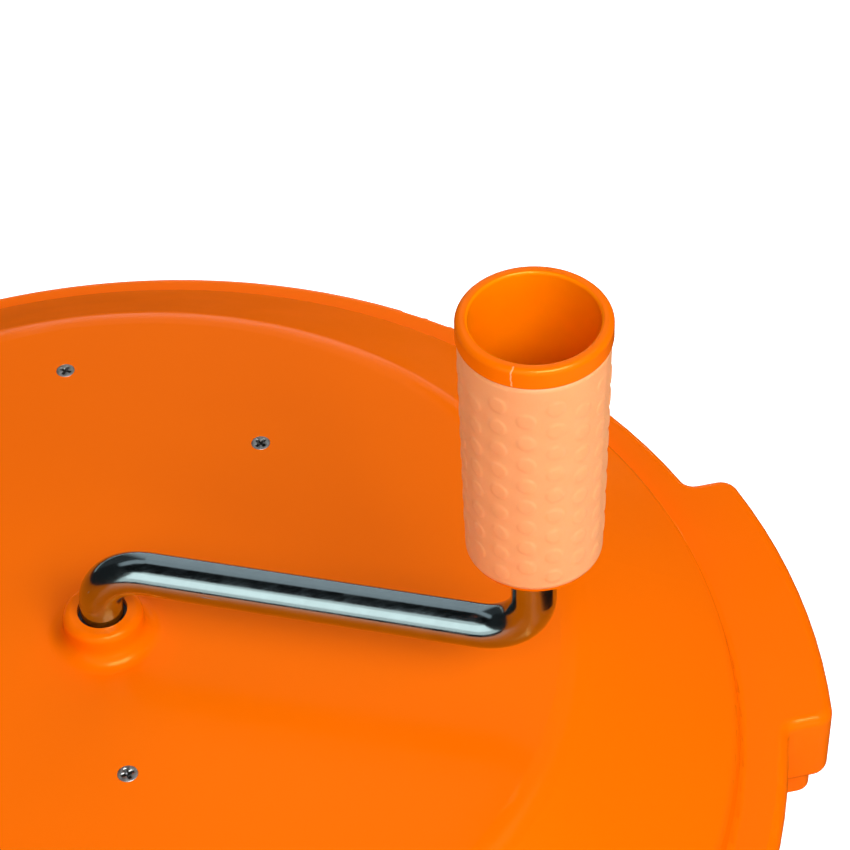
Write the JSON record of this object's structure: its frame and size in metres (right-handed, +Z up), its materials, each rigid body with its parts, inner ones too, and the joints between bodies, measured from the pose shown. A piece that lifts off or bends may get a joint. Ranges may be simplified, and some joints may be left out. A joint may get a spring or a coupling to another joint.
{
  "type": "hand-cranked salad spinner",
  "caption": "Large hand-cranked salad spinner: tapered tub with ears, slotted basket, lid with gearbox, bent steel crank and hollow dotted grip.",
  "frame": {"origin": "on the floor under the middle of the tub", "axes": "+Z up along the tub and crank axis, +X and -X through the ears, +Y to the drain"},
  "size_m": [0.436, 0.4078, 0.526],
  "materials": {
    "orange": "glossy moulded",
    "grip_orange": "glossy moulded",
    "peach_sleeve": "soft with raised dots",
    "white_plastic": "natural moulded",
    "gear_plastic": "natural moulded",
    "bearing_plastic": "smooth",
    "rod_steel": "polished",
    "zinc_steel": "plated",
    "black_rubber": "matt",
    "drain_plastic": "natural moulded"
  },
  "bodies": {
    "tub": {"tub": "orange", "tub_feet": "black_rubber", "pivot_pin": "zinc_steel", "drain_spout": "drain_plastic", "drain_gasket": "black_rubber", "drain_nut": "drain_plastic"},
    "drain_plug": {"drain_plug": "black_rubber"},
    "basket": {"basket": "white_plastic", "basket_bearing": "bearing_plastic"},
    "lid": {"lid": "orange", "crank_bushing": "bearing_plastic", "gearbox_cover": "white_plastic", "gearbox_gasket": "black_rubber", "gearbox_screws": "zinc_steel", "counter_axle": "zinc_steel", "output_bushing": "bearing_plastic"},
    "crank": {"crank_rod": "rod_steel", "crank_gear": "gear_plastic", "crank_pin": "zinc_steel", "crank_washer": "bearing_plastic", "grip_washer": "bearing_plastic", "grip_nut": "zinc_steel"},
    "grip": {"grip_core": "grip_orange", "grip_sleeve": "peach_sleeve"},
    "counter": {"counter_gear": "gear_plastic"},
    "drive": {"output_gear": "gear_plastic", "output_seal": "black_rubber", "drive_plate": "white_plastic", "drive_washer": "zinc_steel", "drive_screw": "zinc_steel"}
  },
  "joints": [
    {"name": "basket_spin", "type": "hinge", "parent": "tub", "child": "basket", "pos_m": [0, 0, 0.05], "axis": [0, 0, 1], "continuous": true},
    {"name": "lid_lift", "type": "slide", "parent": "tub", "child": "lid", "axis": [0, 0, 1], "range_m": [0, 0.4]},
    {"name": "crank_turn", "type": "hinge", "parent": "lid", "child": "crank", "pos_m": [0, 0, 0.377], "axis": [0, 0, 1], "continuous": true},
    {"name": "grip_spin", "type": "hinge", "parent": "crank", "child": "grip", "pos_m": [0.11632, -0.05623, 0.45], "axis": [0, 0, 1], "continuous": true},
    {"name": "counter_spin", "type": "hinge", "parent": "lid", "child": "counter", "pos_m": [0.00178, 0.05997, 0.357], "axis": [0, 0, 1], "continuous": true},
    {"name": "drive_spin", "type": "hinge", "parent": "lid", "child": "drive", "pos_m": [0, 0, 0.335], "axis": [0, 0, 1], "continuous": true},
    {"name": "plug_pull", "type": "slide", "parent": "tub", "child": "drain_plug", "axis": [0, 1, 0], "range_m": [0, 0.03]}
  ],
  "couplings": [
    {"joint": "drive_spin", "follows": "basket_spin", "ratio": 1},
    {"joint": "counter_spin", "follows": "basket_spin", "ratio": -0.54839},
    {"joint": "crank_turn", "follows": "basket_spin", "ratio": 0.30073}
  ]
}
